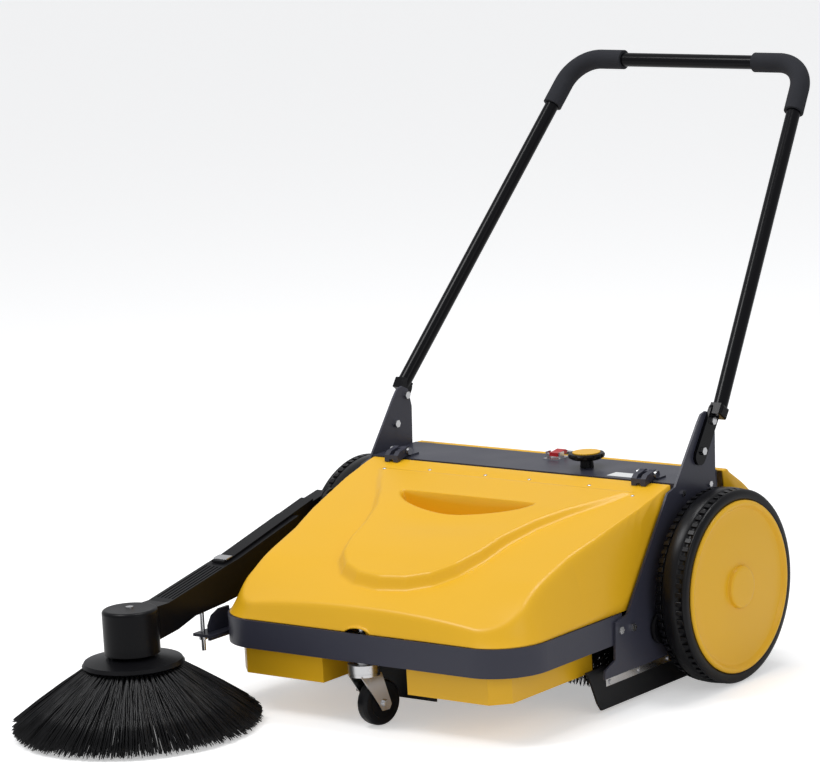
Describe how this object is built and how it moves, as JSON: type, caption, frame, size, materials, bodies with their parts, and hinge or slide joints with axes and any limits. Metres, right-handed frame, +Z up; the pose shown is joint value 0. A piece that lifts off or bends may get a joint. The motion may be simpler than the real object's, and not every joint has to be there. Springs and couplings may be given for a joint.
{
  "type": "walk behind sweeper",
  "caption": "Manual push sweeper with folded steel frame, moulded hood and dust bin, large driving wheels, front caster, main roller brush and a side brush on an arm",
  "frame": {"origin": "middle of the bounding box on the floor that the wheels stand on", "axes": "+Z is up, +Y is the rear, where the push handle leans, and +X is the side away from the side brush"},
  "size_m": [0.975, 1.4278, 0.9992],
  "materials": {
    "frame_paint": "satin blue-grey powder coat",
    "black_paint": "gloss black paint",
    "yellow_plastic": "moulded yellow plastic, slight gloss",
    "black_plastic": "moulded black plastic",
    "red_plastic": "red moulded lever",
    "zinc": "bright zinc plate",
    "blue_cap": "blue plastic insert",
    "tyre_rubber": "black moulded rubber",
    "skirt_rubber": "flat black rubber sheet",
    "grip_foam": "fine-celled black foam",
    "bristle": "black plastic filament",
    "label": "blank white plate"
  },
  "bodies": {
    "chassis": {"side_plate_right": "frame_paint", "side_plate_left": "frame_paint", "bridge_plate": "frame_paint", "front_band": "frame_paint", "caster_bracket": "frame_paint", "brush_housing": "black_paint", "brush_bearings": "black_plastic", "axles": "zinc", "plate_bolts": "zinc", "cap_nuts": "blue_cap", "push_handle": "black_paint", "handle_bolts": "zinc", "grip_left": "grip_foam", "grip_right": "grip_foam", "hinge_pins": "zinc", "dust_bin": "yellow_plastic", "bin_handle": "black_paint", "bin_rails": "frame_paint", "rubber_flaps": "skirt_rubber", "skirts": "skirt_rubber", "skirt_rails": "zinc", "skirt_screws": "zinc", "cover_hinge_lugs": "frame_paint", "latch_base": "zinc", "label_plate": "label", "main_brush_belt": "skirt_rubber", "arm_pivot_pin": "zinc", "side_drive_belt": "skirt_rubber", "arm_stop": "frame_paint", "arm_stop_bolt": "zinc", "caster_stem": "zinc"},
    "hood": {"hood": "yellow_plastic", "hood_screws": "zinc", "hinge_leaves": "frame_paint"},
    "rear_cover": {"rear_cover": "yellow_plastic", "cover_hinge_knuckles": "frame_paint", "latch_keeper": "zinc"},
    "knob": {"knob": "black_plastic", "knob_cap": "yellow_plastic"},
    "latch": {"latch_lever": "red_plastic"},
    "wheel_left": {"tyre_left": "tyre_rubber", "wheel_disc_left": "yellow_plastic", "hub_cap_left": "yellow_plastic"},
    "wheel_right": {"tyre_right": "tyre_rubber", "wheel_disc_right": "yellow_plastic", "hub_cap_right": "yellow_plastic"},
    "main_brush": {"main_brush_shaft": "zinc", "main_brush_bristles": "bristle", "main_brush_pulley": "black_plastic"},
    "side_drive": {"side_drive_pulley": "black_plastic"},
    "arm": {"side_brush_arm": "black_plastic", "arm_guard": "black_plastic", "head_screw": "zinc"},
    "side_brush": {"side_brush_plate": "black_plastic", "side_brush_bristles": "bristle"},
    "caster_fork": {"caster_fork": "zinc", "caster_axle": "zinc"},
    "caster_wheel": {"caster_tyre": "tyre_rubber", "caster_hub": "black_plastic"}
  },
  "joints": [
    {"name": "wheel_left_spin", "type": "hinge", "parent": "chassis", "child": "wheel_left", "pos_m": [-0.2935, 0.18205, 0.165], "axis": [1, 0, 0], "continuous": true},
    {"name": "wheel_right_spin", "type": "hinge", "parent": "chassis", "child": "wheel_right", "pos_m": [0.4465, 0.18205, 0.165], "axis": [1, 0, 0], "continuous": true},
    {"name": "main_brush_spin", "type": "hinge", "parent": "chassis", "child": "main_brush", "pos_m": [0.0765, 0.05205, 0.118], "axis": [1, 0, 0], "continuous": true},
    {"name": "side_drive_spin", "type": "hinge", "parent": "chassis", "child": "side_drive", "pos_m": [-0.2565, 0.01705, 0.281], "axis": [1, 0, 0], "continuous": true},
    {"name": "side_brush_spin", "type": "hinge", "parent": "arm", "child": "side_brush", "pos_m": [-0.2755, -0.50195, 0.118], "axis": [0, 0, 1], "continuous": true},
    {"name": "side_brush_arm_lift", "type": "hinge", "parent": "chassis", "child": "arm", "pos_m": [-0.2765, 0.01705, 0.281], "axis": [-1, 0, 0], "range_deg": [0, 20]},
    {"name": "caster_swivel", "type": "hinge", "parent": "chassis", "child": "caster_fork", "pos_m": [0.0765, -0.32995, 0.095], "axis": [0, 0, 1], "continuous": true},
    {"name": "caster_wheel_spin", "type": "hinge", "parent": "caster_fork", "child": "caster_wheel", "pos_m": [0.08156, -0.30394, 0.039], "axis": [0.9816, -0.1908, 0], "continuous": true},
    {"name": "hood_open", "type": "hinge", "parent": "chassis", "child": "hood", "pos_m": [0.0765, 0.13205, 0.357], "axis": [-1, 0, 0], "range_deg": [0, 80]},
    {"name": "rear_cover_open", "type": "hinge", "parent": "chassis", "child": "rear_cover", "pos_m": [0.0765, 0.38805, 0.074], "axis": [-1, 0, 0], "range_deg": [0, 60]},
    {"name": "latch_open", "type": "hinge", "parent": "chassis", "child": "latch", "pos_m": [0.0815, 0.22205, 0.353], "axis": [1, 0, 0], "range_deg": [0, 90]},
    {"name": "knob_turn", "type": "hinge", "parent": "chassis", "child": "knob", "pos_m": [0.1775, 0.18205, 0.36], "axis": [0, 0, 1], "range_deg": [-180, 180]}
  ],
  "couplings": [
    {"joint": "main_brush_spin", "follows": "wheel_right_spin", "ratio": 1.727},
    {"joint": "side_drive_spin", "follows": "wheel_left_spin", "ratio": 1.9},
    {"joint": "side_brush_spin", "follows": "wheel_left_spin", "ratio": 1.9}
  ]
}
